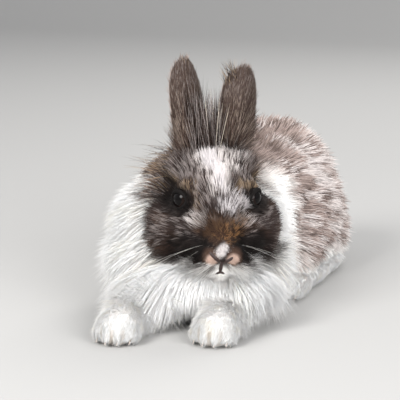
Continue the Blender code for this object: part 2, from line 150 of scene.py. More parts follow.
MM = 0.001
FLESH = (
    "torso", "thigh_left", "thigh_right", "hind_foot_left", "hind_foot_right", "foreleg_left",
    "foreleg_right", "tail", "head", "ear_left", "ear_right",
)
PARTS = 7
BODY, HEAD, EAR, MANE, FORELEG, HIND_FOOT, TAIL = range(PARTS)
PART_OF = {
    "torso": BODY, "thigh": BODY, "hind": HIND_FOOT, "foreleg": FORELEG, "tail": TAIL,
    "head": HEAD, "ear": EAR,
}
HEAD_CENTRE = Vector((12.7, -79.0, 75.0)) * MM
HEAD_TURN = np.array(Matrix.Rotation(math.radians(31), 3, "Z"))
NECK_CENTRE = Vector((-2.5, -69.5, 52.0)) * MM
NECK_TURN = np.array(Matrix.Rotation(math.radians(25), 3, "Z"))
NECK_CORE = [
    # the middle and the radii of each ball that the neck is fused from
    ((0, 0, -14), (50, 38, 36)),
    ((0, 3, 8), (47, 36, 36)),
    ((0, 8, 24), (36, 31, 28)),
    ((0, -15, -28), (46, 38, 22)),
]
NOSE = np.array((0.0, -51.0, -21.0))
EYE_PLACES = {sign: (sign * 20.6, -18.5, 6.5) for sign in (-1, 1)}
WELD = 0.002 * MM
SKIN_VOXEL = 0.95 * MM
SKIN_SWELL = 0.6 * MM
SKIN_TRIANGLES = 150000
SKIN_FLOOR = 0.0004
BLUR_STEPS = 24
COAT_DEPTH = {BODY: 3.6, EAR: 0.2, MANE: 0.6, FORELEG: 1.3, HIND_FOOT: 1.3, TAIL: 3.2}
NOSE_DEPTH = 0.3
FACE_DEEPER = 2.4       # how much more than that on the face, away from the nose


def rows_of(collection, key, width):
    values = np.empty(len(collection) * width)
    collection.foreach_get(key, values)
    return values.reshape(-1, width)


def lengths(rows):
    return np.linalg.norm(rows, axis=1)


def unit(rows):
    return rows / np.maximum(np.linalg.norm(rows, axis=1, keepdims=True), 1e-9)


def in_head(places):
    """Places in the head's own frame, in millimetres: X to its left, -Y ahead, Z up."""
    return (places - np.array(HEAD_CENTRE)) @ HEAD_TURN / MM


def in_neck(places):
    return (places - np.array(NECK_CENTRE)) @ NECK_TURN / MM


def rise(values, low, high):
    """0 below low, 1 above high, smooth between them. Low may be the greater of the two."""
    share = np.clip((values - low) / (high - low), 0, 1)
    return share * share * (3 - 2 * share)


def evaluated_mesh(made):
    return bpy.data.meshes.new_from_object(made.evaluated_get(bpy.context.evaluated_depsgraph_get()))


def work_in_modifiers(made):
    """Gives an object the mesh that its modifiers make."""
    shaped = evaluated_mesh(made)
    made.modifiers.clear()
    made.data = shaped


bm = bmesh.new()
part_layer = bm.faces.layers.int.new("part")
for node in FLESH:
    bm.from_mesh(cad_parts[node].data)
    for face in bm.faces:
        if face[part_layer] == 0:
            face[part_layer] = PART_OF[node.split("_")[0]] + 1
bmesh.ops.remove_doubles(bm, verts=bm.verts, dist=WELD)
turned = Matrix(NECK_TURN.tolist()).to_4x4()
for centre, radii in NECK_CORE:
    matrix = Matrix.Translation(NECK_CENTRE) @ turned @ Matrix.Translation(Vector(centre) * MM)
    matrix = matrix @ Matrix.Diagonal((*(Vector(radii) * MM), 1))
    bmesh.ops.create_icosphere(bm, subdivisions=4, radius=1, matrix=matrix)
for face in bm.faces:
    if face[part_layer] == 0:
        face[part_layer] = MANE + 1
bm.normal_update()
for vertex in bm.verts:
    vertex.co += vertex.normal * SKIN_SWELL
bmesh.ops.triangulate(bm, faces=bm.faces)
bm.faces.ensure_lookup_table()
flesh_tree = BVHTree.FromBMesh(bm)
flesh_part = np.array([face[part_layer] - 1 for face in bm.faces])
skin = linked_object("skin", bm)
remesh = skin.modifiers.new("Remesh", "REMESH")
remesh.mode = "VOXEL"
remesh.voxel_size = SKIN_VOXEL
smooth = skin.modifiers.new("Smooth", "SMOOTH")
smooth.factor = 0.5
smooth.iterations = 3
work_in_modifiers(skin)
thin = skin.modifiers.new("Decimate", "DECIMATE")
thin.ratio = min(1, SKIN_TRIANGLES / sum(len(face.vertices) - 2 for face in skin.data.polygons))
work_in_modifiers(skin)
bm = bmesh.new()
bm.from_mesh(skin.data)
bmesh.ops.triangulate(bm, faces=bm.faces)
bm.to_mesh(skin.data)
bm.free()
skin.data.shade_smooth()

skin_places = rows_of(skin.data.vertices, "co", 3)
skin_normals = rows_of(skin.data.vertex_normals, "vector", 3)
skin_edges = rows_of(skin.data.edges, "vertices", 2).astype(int)
skin_faces = rows_of(skin.data.polygons, "vertices", 3).astype(int)
nearest = [flesh_tree.find_nearest(Vector(place))[2] for place in skin_places]
skin_parts = np.eye(PARTS)[flesh_part[nearest]]
neighbours = np.bincount(skin_edges.ravel(), minlength=len(skin_places)) + 1.0


def blurred(rows, steps):
    """Values at the skin's points, each drawn step by step towards its neighbours' mean."""
    near, far = skin_edges.T
    for _ in range(steps):
        total = rows.copy()
        for column in range(rows.shape[1]):
            total[:, column] += np.bincount(near, rows[far, column], len(rows))
            total[:, column] += np.bincount(far, rows[near, column], len(rows))
        rows = total / neighbours[:, None]
    return rows


def mixed(parts, values):
    """Each place's value from those of the parts of the body that it lies on."""
    return sum(parts[:, part] * value for part, value in values.items())


skin_parts = blurred(skin_parts, BLUR_STEPS)
skin_head = in_head(skin_places)
from_nose = lengths(skin_head - NOSE)
skin_depth = mixed(skin_parts, {**COAT_DEPTH, HEAD: NOSE_DEPTH + FACE_DEEPER * rise(from_nose, 8, 42)})
eye_places = np.array(list(EYE_PLACES.values()))
eye_distance = np.min([lengths(skin_head - place) for place in eye_places], axis=0)
skin_depth = np.where(skin_parts[:, HEAD] > 0.5, skin_depth * rise(eye_distance, 8, 16), skin_depth)
skin_places -= skin_normals * (skin_depth[:, None] * MM + SKIN_SWELL)
skin_places[:, 2] = np.maximum(skin_places[:, 2], SKIN_FLOOR)
skin.data.vertices.foreach_set("co", skin_places.ravel())
skin.data.update()
skin_normals = rows_of(skin.data.vertex_normals, "vector", 3)
skin_head = in_head(skin_places)
skin_neck = in_neck(skin_places)

bpy.context.view_layer.objects.active = skin
skin.select_set(True)
skin.data.uv_layers.new(name="OFBake")
bpy.ops.object.mode_set(mode="EDIT")
bpy.ops.mesh.select_all(action="SELECT")
bpy.ops.uv.smart_project(angle_limit=math.radians(66), island_margin=0.001)
bpy.ops.object.mode_set(mode="OBJECT")
skin_uv = rows_of(skin.data.uv_layers["OFBake"].uv, "vector", 2).reshape(-1, 3, 2)
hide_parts(*FLESH)
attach(skin, "root")


# The markings. The same coat colours on the skin and on every tuft: a dark ticked
# mask with a white blaze and a rust bridge of the nose, white muzzle, mane, chest and
# feet, a marled grey-brown back and dark brown ears, and painted shade in the folds
# between the toes. Each is a function of the place.

def tone(red, green, blue):
    """A colour read off the screen, as the linear values that a shader takes."""
    picked = np.array((red, green, blue)) / 255
    return np.where(picked <= 0.04045, picked / 12.92, ((picked + 0.055) / 1.055) ** 2.4)


WOOL_WHITE = tone(252, 249, 245)
WOOL_CREAM = tone(240, 228, 208)
MASK_DARK = tone(45, 37, 35)
MASK_BLACK = tone(16, 13, 12)
MASK_GREY = tone(154, 144, 141)
BLAZE_WHITE = tone(213, 207, 208)
RUST = tone(68, 48, 34)
ORANGE = tone(142, 101, 60)
GOLD = tone(158, 134, 106)
NOSE_CREAM = tone(186, 160, 146)
NOSE_WHITE = tone(214, 208, 207)
NOSE_TAN = tone(84, 64, 54)
BACK_TAUPE = tone(176, 158, 151)
BACK_DARK = tone(112, 97, 91)
BACK_PALE = tone(228, 220, 217)
NAPE_BROWN = tone(46, 37, 33)
EAR_BROWN = tone(74, 60, 54)
EAR_INSIDE = tone(214, 190, 178)
# painted shade: the tan laid into the folds between the toes of the forepaws
TOE_CREASE_SHADE = tone(168, 138, 102)
# the middle of each forepaw at its wrist and at its toes
FOREPAW_TOES = {"right": ((-20, -138), (-13.5, -171)), "left": ((37, -116), (41.5, -149))}
# how far beside the middle of a forepaw its folds lie, and how dark the painted shade in each is
TOE_FOLDS = ((-7.1, 0.5), (0, 1.0), (7.1, 0.6))
# the way that each ear's cup faces
EAR_OPENINGS = {-1: (-0.60, 0.80, 0), 1: (-0.35, 0.94, 0)}
# the skin under the tufts is painted this share of the coat's colour, darker as painted shade deep in the
# coat
UNDERFUR_PAINTED_SHADE = 0.8
WAVES = 12
WAVES_EACH = 6
RIPPLES = np.random.default_rng(3).normal(size=(WAVES, 4))


def ripple(places, size, first=0, stretch=(1, 1, 1)):
    """A smooth uneven pattern between about -1 and 1, of waves of one size in millimetres."""
    total = np.zeros(len(places))
    for wave in range(first, first + WAVES_EACH):
        row = RIPPLES[wave % WAVES]
        way = row[:3] / np.linalg.norm(row[:3]) / np.array(stretch)
        turns = places @ way * (2 * math.pi / size) * (0.7 + 0.11 * (wave % WAVES_EACH))
        total += np.sin(turns + 9 * row[3])
    return total / 3


def laid(base, colour, share):
    return base + (colour - base) * np.clip(share, 0, 1)[:, None]


def spot(across, up, centre, radii):
    """1 in the middle of an oval on the face, falling to 0 past its rim."""
    distance = np.hypot((across - centre[0]) / radii[0], (up - centre[1]) / radii[1])
    return 1 - rise(distance, 0.65, 1.25)


def face_colour(head, grain):
    """The mask, blaze, brows, nose bridge, whisker pads and muzzle, by place on the face."""
    across, deep, up = head.T
    around = np.arctan2(up - NOSE[2], across)
    rays = np.column_stack((around * 9, lengths(head - NOSE) / 9, np.zeros(len(head))))
    ray = 0.6 * ripple(rays, 3.4, 0) + 2.4 * (grain - 0.5)
    ragged = across + 1.3 * ripple(head, 7, 2, (1, 1, 2.5)) + 4.5 * (grain - 0.5)
    lifted = up + 1.0 * ripple(head, 8, 5, (1, 1, 2)) + 4.0 * (grain - 0.5)
    colour = laid(MASK_DARK, MASK_GREY, 0.60 * rise(ray, 0.3, 1.2))
    colour = laid(colour, RUST, 0.25 * rise(ripple(head, 13, 3), 0.1, 0.8))

    def dabbed(tint, share, centre, radii):
        return laid(colour, tint, share * spot(ragged, lifted, centre, radii))

    for side in (-1, 1):
        colour = dabbed(MASK_GREY, 0.5 * (grain > 0.5), (side * 17, 25), (9, 8))
        brow = spot(ragged, lifted, (side * 17.5, 15.5), (6.5, 2.6))
        brow = brow + spot(ragged, lifted, (side * 12.5, 8), (2.2, 7))
        colour = laid(colour, GOLD, 0.55 * (grain > 0.45) * brow)
        under_eye = (side * 14.5 + 1.0, -4.0)
        colour = dabbed(BACK_PALE, 0.6 * (grain > 0.4), under_eye, (6.0, 4.5))
        colour = laid(colour, MASK_BLACK, 0.94 * spot(across, up, (side * 24.5, 5.5), (9.5, 10)))
    colour = dabbed(GOLD, 0.6 * (grain > 0.4), (27, 15), (4, 4))
    colour = dabbed(RUST, 0.5 + 0.5 * grain, (2, -7), (16, 8))
    colour = dabbed(ORANGE, 0.75 * (grain > 0.62), (7, -9.0), (10, 7.5))
    colour = dabbed(MASK_BLACK, 0.7 * (grain < 0.4), (1, -8), (14, 10))
    colour = dabbed(MASK_DARK, 0.75, (1.5, 4.0), (6, 4.5))
    for side in (-1, 1):
        cheek = spot(ragged, lifted, (side * 17, -20), (13, 9))
        cheek = np.maximum(cheek, spot(across, up, (side * 13, -21), (5, 8)))
        colour = laid(colour, MASK_BLACK, 0.96 * cheek)
    colour = dabbed(MASK_GREY, 0.65 * (grain > 0.5), (-8, 15), (6, 13))
    colour = dabbed(BLAZE_WHITE, 0.88 * (grain > 0.25), (9.5, 5.5), (9.5, 5.5))
    colour = dabbed(BACK_PALE, 0.75 * (grain > 0.4), (11, 28), (10, 7))
    climb = up - 15
    middle = 1.6 - 0.15 * climb - 0.0175 * climb * np.abs(climb)
    half = 2.8 + 3.6 * rise(up, 12, 30)
    off_middle = np.abs(ragged - middle)
    ends = rise(lifted, 8, 14) * rise(lifted, 38, 31) * rise(deep, 3, -4)
    colour = laid(colour, BACK_PALE, 0.7 * (grain > 0.3) * ends * rise(off_middle, half + 5, half))
    colour = laid(colour, BLAZE_WHITE, 0.94 * ends * rise(off_middle, half + 1.5, half - 3.0))
    for side in (-1, 1):
        edge = spot(across, up, (side * 7.0, -24.2), (5.0, 6.0))
        wing = spot(across + 0.8 * side, up, (side * 7.2, -25.6), (4.0, 3.6))
        colour = laid(colour, NOSE_TAN, 0.75 * edge * rise(deep, -33, -39))
        colour = laid(colour, NOSE_CREAM, 0.92 * wing * rise(deep, -35, -41))
    tip = 0.85 * spot(ragged, lifted, (-0.2, -20.6), (3.2, 4.6)) * rise(deep, -38, -44)
    colour = laid(colour, NOSE_WHITE, tip)
    brim = -29.3 - 0.45 * np.maximum(np.abs(across) - 10, 0) + 1.2 * ripple(head, 6, 1)
    return laid(colour, WOOL_WHITE, rise(lifted - brim, 1.5, -2.5))


def toe_crease_shade(across, deep, up):
    """1 in the folds between the toes of the forepaws, where painted shade lies."""
    folds = np.zeros(len(across))
    for wrist, toes in FOREPAW_TOES.values():
        ahead = (Vector(toes) - Vector(wrist)).normalized()
        beside = (across - toes[0]) * ahead.y - (deep - toes[1]) * ahead.x
        along = (across - toes[0]) * ahead.x + (deep - toes[1]) * ahead.y
        for offset, strength in TOE_FOLDS:
            folds += strength * rise(np.abs(beside - offset), 1.6, 0.5) * rise(along, -8, -3)
    return np.minimum(folds, 1) * rise(up, 15, 10)


def coat_colour(places, parts, grain, inside):
    """The colour of the coat at places, where grain from 0 to 1 sets each tuft apart."""
    spots = places / MM
    across, deep, up = spots.T
    head = in_head(places)
    neck = in_neck(places)
    ragged = grain - 0.5

    flecked = grain + 0.25 * ripple(spots, 8, 3, (1, 2.4, 1))
    back = laid(BACK_TAUPE, BACK_DARK, 1.6 - 3.0 * flecked)
    streak = ripple(spots, 13, 0, (1, 2.2, 1)) + 0.5 * ripple(spots, 5, 2, (1, 2, 1))
    streak += 1.6 * ragged - 0.9 + 0.6 * rise(deep, 0, 60) + 0.9 * rise(np.abs(across), 8, 28)
    back = laid(back, BACK_PALE, 0.85 * rise(streak, 0.05, 0.75))
    saddle = rise(np.abs(across), 30, 12) * rise(deep, 60, 10)
    back = laid(back, NOSE_TAN, (0.25 + 0.2 * rise(ripple(spots, 16, 4), 0.0, 0.7)) * saddle)
    back = laid(back, WOOL_WHITE, rise(up + 5 * ripple(spots, 18, 2), 26, 14))
    shoulder = rise(deep + 4 * ripple(spots, 12, 2), -2, -20) * rise(up, 94, 74)
    back = laid(back, WOOL_WHITE, shoulder)
    tail = laid(back, BACK_DARK, 0.5 * rise(deep, 112, 104))
    tail = laid(tail, WOOL_WHITE, rise(deep + 3 * ripple(spots, 9, 1), 110, 118))

    face = face_colour(head, grain)
    brink = 9 - 8 * rise(head[:, 0], -5, 5)
    behind = rise(head[:, 1] + 2.5 * ripple(head, 12, 4) + 6 * ragged - brink, 0, 8)
    behind = behind * rise(head[:, 2], 16, 4)
    below = rise(head[:, 2] + 2 * ripple(head, 9, 3) + 4 * ragged, -36, -41)
    face = laid(face, WOOL_WHITE, np.maximum(behind, below))
    face = laid(face, NAPE_BROWN, 0.8 * (grain < 0.75) * rise(head[:, 2] + 3 * ragged, 34, 38))

    mane = WOOL_WHITE * (0.95 + 0.05 * grain)[:, None]
    mane = laid(mane, WOOL_CREAM, 0.5 * (grain > 0.5) * rise(ripple(neck, 20, 2), 0.0, 0.8))
    nape = laid(NAPE_BROWN, GOLD, 0.45 * (grain > 0.88))
    nape = laid(nape, MASK_GREY, 0.5 * (grain < 0.14))
    nape = laid(nape, back, rise(neck[:, 1], 10, 26))
    off_nape = np.abs(neck[:, 0]) + 2.5 * ripple(neck, 9, 1) + 6 * ragged - 11 * rise(neck[:, 0], -5, 5)
    back_of_neck = rise(neck[:, 1], -24, -14) * rise(neck[:, 2], 8, 18)
    brown = rise(off_nape, 31, 25) * np.maximum(back_of_neck, rise(neck[:, 2], 21, 27))
    mane = laid(mane, nape, brown)

    ear = laid(EAR_BROWN, MASK_GREY, 0.6 * np.clip(grain * 2.2 - 1.3, 0, 1))
    ear = laid(ear, GOLD, 0.25 * (grain > 0.72) * rise(head[:, 2], 80, 50))
    ear = laid(ear, NAPE_BROWN, 0.75 * (grain < 0.76) * rise(head[:, 2], 72, 48))
    ear = laid(ear, EAR_INSIDE, 0.9 * inside)

    foot = WOOL_WHITE * (0.92 + 0.08 * grain)[:, None]
    foot = laid(foot, WOOL_CREAM, 0.35 * rise(ripple(spots, 9, 6), 0.2, 0.9))
    # painted shade in the folds between the toes
    foot = laid(foot, TOE_CREASE_SHADE, 0.5 * toe_crease_shade(across, deep, up))

    looks = {BODY: back, HEAD: face, EAR: ear, MANE: mane, FORELEG: foot, HIND_FOOT: foot, TAIL: tail}
    sharp = parts**2
    sharp = sharp / sharp.sum(axis=1, keepdims=True)
    return sum(sharp[:, part, None] * look for part, look in looks.items())


def paint(mesh, colours):
    """Keeps a colour for each point of a mesh, for its material to read."""
    layer = mesh.color_attributes.new("coat", "FLOAT_COLOR", "POINT")
    rows = np.column_stack((colours, np.ones(len(colours)))).astype(np.float32)
    layer.data.foreach_set("color", rows.ravel())


def uneven(made, scale):
    """A fine noise that lies still on a piece, for its material to read."""
    nodes, links = made.node_tree.nodes, made.node_tree.links
    place = nodes.new("ShaderNodeTexCoord")
    noise = nodes.new("ShaderNodeTexNoise")
    noise.inputs["Scale"].default_value = scale
    links.new(place.outputs["Object"], noise.inputs["Vector"])
    return noise.outputs["Fac"]


def roughen(made, height, strength, distance):
    """Raises and sinks a material's surface by a noise."""
    nodes, links = made.node_tree.nodes, made.node_tree.links
    raised = nodes.new("ShaderNodeBump")
    raised.inputs["Strength"].default_value = strength
    raised.inputs["Distance"].default_value = distance
    links.new(height, raised.inputs["Height"])
    links.new(raised.outputs["Normal"], nodes["Principled BSDF"].inputs["Normal"])


def coat_material(name, roughness, sheen, soft, bump):
    """Fur or skin that takes its colour from the mesh, with fine uneven hair over it."""
    made = bpy.data.materials.new(name)
    made.use_nodes = True
    nodes, links = made.node_tree.nodes, made.node_tree.links
    shader = nodes["Principled BSDF"]
    shader.inputs["Roughness"].default_value = roughness
    shader.inputs["Sheen Weight"].default_value = sheen
    shader.inputs["Sheen Roughness"].default_value = 0.5
    shader.inputs["Specular IOR Level"].default_value = 0.07
    shader.inputs["Subsurface Weight"].default_value = soft
    shader.inputs["Subsurface Radius"].default_value = (1.0, 0.8, 0.7)
    shader.inputs["Subsurface Scale"].default_value = 0.0015
    colour = nodes.new("ShaderNodeAttribute")
    colour.attribute_name = "coat"
    fleck = uneven(made, 900)
    shade = nodes.new("ShaderNodeMapRange")
    shade.inputs["To Min"].default_value = 0.86
    shade.inputs["To Max"].default_value = 1.14
    links.new(fleck, shade.inputs["Value"])
    tint = nodes.new("ShaderNodeMix")
    tint.data_type = "RGBA"
    tint.blend_type = "MULTIPLY"
    tint.inputs["Factor"].default_value = 1
    links.new(colour.outputs["Color"], tint.inputs["A"])
    links.new(shade.outputs["Result"], tint.inputs["B"])
    links.new(tint.outputs["Result"], shader.inputs["Base Color"])
    if bump:
        roughen(made, fleck, bump, 0.0006)
    return made


skin_ears = np.zeros(len(skin_places))
for side, opening in EAR_OPENINGS.items():
    facing = (skin_normals @ HEAD_TURN) @ np.array(opening)
    skin_ears += rise(facing, 0.0, 0.5) * (skin_head[:, 0] * side > 2 * side) * rise(skin_head[:, 2], 34, 44)
skin_inside = skin_parts[:, EAR] * skin_ears
wool = coat_material("long_wool", 0.8, 0.05, 0.5, 0)
hair = coat_material("short_hair", 0.65, 0.01, 0.1, 0)
skin.data.materials.append(coat_material("underfur", 0.9, 0.05, 0.3, 0.6))
skin_colour = coat_colour(skin_places, skin_parts, np.full(len(skin_places), 0.5), skin_inside)
# painted shade: the skin between the tufts is darker than the coat over it
paint(skin.data, UNDERFUR_PAINTED_SHADE * skin_colour)


# The lie of the coat. Hair runs back from the nose over the face, fans out round
# the neck and down the chest, lies back along the body and forward on the feet.
# Each skin point has its way, its length, how far it lifts and how wide its tufts are.

EAR_ROOTS = {-1: (-9, 14, 24), 1: (13.5, 14, 24)}
EAR_TIPS = {-1: (-15.5, 30, 90), 1: (26, 36, 83.5)}
FORELOCK_WAY = (-0.05, 0.15, 1.0)
FORELOCK_LENGTH = 26
FORELOCK_LIFT = 0.8
RUFF_LENGTH = 22
ARM_WOOL_LENGTH = 36
LIE_BLUR = 4
BODY_BLUR = 16
# between these two depths the long wool of the arms ends, on each forepaw
SLEEVE_ENDS = {"right": (-0.150, -0.134), "left": (-0.129, -0.113)}
BETWEEN_PAWS = 0.009


def columns(across, deep, up):
    """Rows of three, where a single number fills its whole column."""
    return np.column_stack(np.broadcast_arrays(across, deep, up))


def to_world(ways, turn):
    return unit(ways @ turn.T)


def between_ears(head, deep, outer, inner):
    """1 on the crown round the forelock's root, 0 past the outer radius."""
    off_root = np.hypot(head[:, 0] + 1, head[:, 1] - deep)
    return rise(off_root, outer, inner) * rise(head[:, 2], 24, 30)


def face_lie(head):
    away = head - NOSE
    away[:, 0] *= 1.25
    away[:, 2] -= 14 * rise(head[:, 2], 0, -25)
    swirl = np.zeros_like(away)
    for eye in eye_places:
        from_eye = head - eye
        near = rise(lengths(from_eye), 17, 9)
        swirl += unit(from_eye) * near[:, None]
    lip = rise(head[:, 2], -24, -30)[:, None]
    down = columns(2.0 * np.clip(head[:, 0] / 5, -1, 1), 0.1, -0.75)
    way = (unit(away) + 1.1 * swirl) * (1 - lip) + down * lip
    tuft = between_ears(head, 9, 14, 8)[:, None]
    return to_world(unit(way) * (1 - tuft) + np.array(FORELOCK_WAY) * tuft, HEAD_TURN)


def over_arms(neck):
    """Where wool falls forward over the forearms, on both sides of the chest."""
    return rise(neck[:, 1], -6, -20) * rise(neck[:, 2], 2, -8) * rise(np.abs(neck[:, 0] + 2), 10, 18)


def neck_lie(neck):
    turn = np.arctan2(neck[:, 0], neck[:, 2])
    side = np.sign(neck[:, 0]) * rise(np.abs(np.degrees(turn)), 8, 40)
    hang = columns(0.25 * side, 0.45 + 0.014 * neck[:, 1], -0.80 + 0.30 * np.cos(turn))
    bib = columns(0.5 * neck[:, 0] / 42, -0.2, -1.0)
    nape = columns(0.3 * np.sin(turn), 1.0, 0.0)
    front = (rise(neck[:, 1], -14, -32) * rise(neck[:, 2], 25, 5))[:, None]
    top = (rise(np.abs(np.degrees(turn)), 46, 26) * rise(neck[:, 2], 5, 25))[:, None]
    lie = unit(hang) * (1 - front) + unit(bib) * front
    arm = over_arms(neck)[:, None]
    forward = columns(-0.18 + 0.0148 * neck[:, 0], -1.0, -0.22)
    lie = unit(lie) * (1 - arm) + unit(forward) * arm
    return to_world(unit(lie) * (1 - top) + nape * top, NECK_TURN)


def ear_lie(head):
    way = np.zeros_like(head)
    for sign in (-1, 1):
        along = np.array(EAR_TIPS[sign]) - np.array(EAR_ROOTS[sign])
        way += (head[:, 0] * sign > -2)[:, None] * along
    return to_world(way, HEAD_TURN)


def body_lie(places):
    wave = 0.35 * ripple(places / MM, 34, 1)
    down = -0.55 * rise(np.abs(places[:, 0]), 0.015, 0.05)
    return unit(columns(wave, 1.0, down))


def even(places, way):
    return np.broadcast_to(np.array(way, float), places.shape)


lies = {
    BODY: body_lie(skin_places),
    HEAD: face_lie(skin_head),
    EAR: ear_lie(skin_head),
    MANE: neck_lie(skin_neck),
    FORELEG: even(skin_places, (0.12, -1, -0.7)),
    HIND_FOOT: even(skin_places, (0, -1, -0.5)),
    TAIL: even(skin_places, (0, 0.75, 0.65)),
}
skin_lie = sum(skin_parts[:, part, None] * lie for part, lie in lies.items())
skin_lie -= skin_normals * np.sum(skin_lie * skin_normals, axis=1, keepdims=True)
on_head = skin_parts[:, HEAD, None] + skin_parts[:, EAR, None]
skin_lie = blurred(unit(skin_lie), LIE_BLUR)
skin_lie = skin_lie * on_head + blurred(skin_lie, BODY_BLUR) * (1 - on_head)

head_side = np.abs(skin_head[:, 0])
head_deep = skin_head[:, 1]
head_up = skin_head[:, 2]
near_face = rise(from_nose, 8, 40)
crown = rise(np.hypot(skin_head[:, 0], head_deep - 10), 22, 8) * rise(head_up, 24, 32)
forelock = between_ears(skin_head, 11, 10, 5)
bib_low = rise(skin_places[:, 2], 0.034, 0.006)
rump = rise(skin_places[:, 1], 0.020, 0.070)
arms = over_arms(skin_neck)
temples = rise(head_up, 8, 20) * rise(head_side, 10, 22) * rise(head_deep, -20, 0)
muzzle = rise(head_up, -28.5, -31.5) * rise(head_deep, -16, -34) * rise(head_side, 2, 6)
muzzle *= 1 - 0.7 * rise(head_up, -35, -38) * rise(head_side, 12, 7)
jaw = rise(head_up, -22, -29) * rise(head_side, 11, 16)
cheeks = rise(head_side, 20, 32) * rise(head_deep, -26, -8) * rise(head_up, 10, -2)
right_sleeve = rise(skin_places[:, 1], *SLEEVE_ENDS["right"])
left_sleeve = rise(skin_places[:, 1], *SLEEVE_ENDS["left"])
sleeves = np.where(skin_places[:, 0] < BETWEEN_PAWS, right_sleeve, left_sleeve)
ear_edge = rise(lengths(blurred(skin_normals, 3)), 0.92, 0.6)
ear_foot = rise(head_up, 56, 36)
side_of_neck = np.sin(np.arctan2(skin_neck[:, 0], skin_neck[:, 2])) ** 2

# length, in millimetres
ruff_length = (RUFF_LENGTH + 3 * rise(skin_neck[:, 0], -12, 12)) * (0.66 + 0.34 * side_of_neck)
ruff_length = ruff_length * (1 - arms) + ARM_WOOL_LENGTH * arms - 4 * bib_low * (1 - arms)
head_length = 1.0 + 7.5 * near_face + 6 * crown + 8 * temples + 15 * muzzle * (1 - jaw) + 6 * jaw
head_length = head_length + 4 * cheeks * (skin_head[:, 0] < 0)
head_length *= 0.35 + 0.65 * rise(eye_distance, 9, 20)
skin_length = mixed(skin_parts, {
    BODY: 10.5 + 4 * rump, HEAD: head_length, EAR: 4.2 + 4 * ear_edge + 9 * ear_foot, MANE: ruff_length,
    FORELEG: 4.6 + 13 * sleeves, HIND_FOOT: 5.0, TAIL: 11,
})
skin_length = np.maximum(skin_length, FORELOCK_LENGTH * forelock)
even_length = blurred(skin_length[:, None], BODY_BLUR)[:, 0]
skin_length = skin_length * on_head[:, 0] + even_length * (1 - on_head[:, 0])

# lift, from 0 along the skin to 1 straight out of it
skin_lift = mixed(skin_parts, {
    BODY: 0.24 + 0.10 * rump,
    HEAD: 0.24 + 0.34 * temples + 0.16 * muzzle + 0.2 * cheeks,
    EAR: 0.16 + 0.25 * ear_edge + 0.14 * ear_foot,
    MANE: (0.10 + 0.36 * side_of_neck) * (1 - arms) + 0.34 * arms,
    FORELEG: 0.27, HIND_FOOT: 0.27, TAIL: 0.34,
})
skin_lift = np.maximum(skin_lift, FORELOCK_LIFT * forelock)

# width of a tuft, in millimetres
skin_width = mixed(skin_parts, {
    BODY: 0.73, HEAD: 0.30 + 0.25 * near_face, EAR: 0.46, MANE: 0.60, FORELEG: 0.46,
    HIND_FOOT: 0.48, TAIL: 0.7,
})

# tufts on each square millimetre, none on the cleft of the lip or flat underneath
skin_crowd = mixed(skin_parts, {
    BODY: 0.73, HEAD: 2.7 - 0.6 * near_face, EAR: 1.5, MANE: 3.4, FORELEG: 2.0, HIND_FOOT: 1.7, TAIL: 1.5,
})
cleft = (np.abs(skin_head[:, 0] + 0.4) < 1.7) & (np.abs(head_up + 31.5) < 6) & (head_deep < -30)
skin_crowd = np.where(cleft, 0, skin_crowd * rise(skin_normals[:, 2], -0.995, -0.90))


# The coat. Each tuft is a closed three-sided blade, bent along its lie and drawn
# to the point of its lock. Its root is sunk in the skin, its tip ends in the air,
# and what would reach the floor lies on it.

TUFT_CUTS = 1
TUFT_SINK = 0.7
SHORT_TUFT = 3          # a tuft shorter than this is sunk less deep
TUFT_FLATNESS = 0.55
TUFT_SPRING = 0.35      # how far a tuft that sags rises first
CLUMP_SHARE = 14
PIECE_TRIANGLES = 190000
PATCH = 0.003           # how wide a tuft's place is on the map of the skin
FLOOR_REST = 0.0003
FLOOR_RISE = 0.0006
WIDEST = 0.069          # tips past this distance to the left are drawn in
DRAWN_IN = 0.6
SOFT_SHADE = 0.6        # how far a tuft is shaded as the skin that it grows from
EYE_RADIUS = 7.6
EYE_CLEARANCE = 0.3


def tuft_pattern(cuts):
    """One blade's points, as (across, deep, along), and its triangles."""
    pattern = bmesh.new()
    bmesh.ops.create_cone(pattern, cap_ends=True, segments=3, radius1=1, radius2=0, depth=1)
    bmesh.ops.remove_doubles(pattern, verts=pattern.verts, dist=1e-5)
    sloping = [item for item in pattern.edges if abs(item.verts[0].co.z - item.verts[1].co.z) > 0.5]
    bmesh.ops.subdivide_edges(pattern, edges=sloping, cuts=cuts)
    bmesh.ops.triangulate(pattern, faces=pattern.faces)
    bmesh.ops.recalc_face_normals(pattern, faces=pattern.faces)
    pattern.verts.index_update()
    points = np.array([vertex.co for vertex in pattern.verts])
    points[:, 2] += 0.5
    span = np.maximum(1 - points[:, 2], 1e-6)[:, None]
    points[:, :2] = np.where(span > 1e-3, points[:, :2] / span, 0)
    triangles = np.array([[vertex.index for vertex in face.verts] for face in pattern.faces])
    pattern.free()
    return points, triangles


def spread_roots(draw, chosen):
    """Roots strewn over faces by the coat's crowding: their faces and weights in the corners."""
    corners = skin_places[skin_faces[chosen]]
    across = np.cross(corners[:, 1] - corners[:, 0], corners[:, 2] - corners[:, 0])
    area = 0.5 * lengths(across)
    wanted = area / MM**2 * skin_crowd[skin_faces[chosen]].mean(axis=1)
    count = np.floor(wanted + draw.random(len(wanted))).astype(int)
    faces = np.repeat(chosen, count)
    first, second = draw.random((2, len(faces)))
    over = first + second > 1
    first[over], second[over] = 1 - first[over], 1 - second[over]
    return faces, np.column_stack((1 - first - second, first, second))


def at_roots(values, faces, weights):
    corners = values[skin_faces[faces]]
    if corners.ndim == 2:
        return np.sum(corners * weights, axis=1)
    return np.sum(corners * weights[:, :, None], axis=1)


def leading(roots, draw, share):
    """For each tuft, the one that leads its lock."""
    leaders = draw.choice(len(roots), max(1, len(roots) // share), replace=False)
    tree = KDTree(len(leaders))
    for index, leader in enumerate(leaders):
        tree.insert(roots[leader], index)
    tree.balance()
    return leaders[[tree.find(root)[1] for root in roots]]


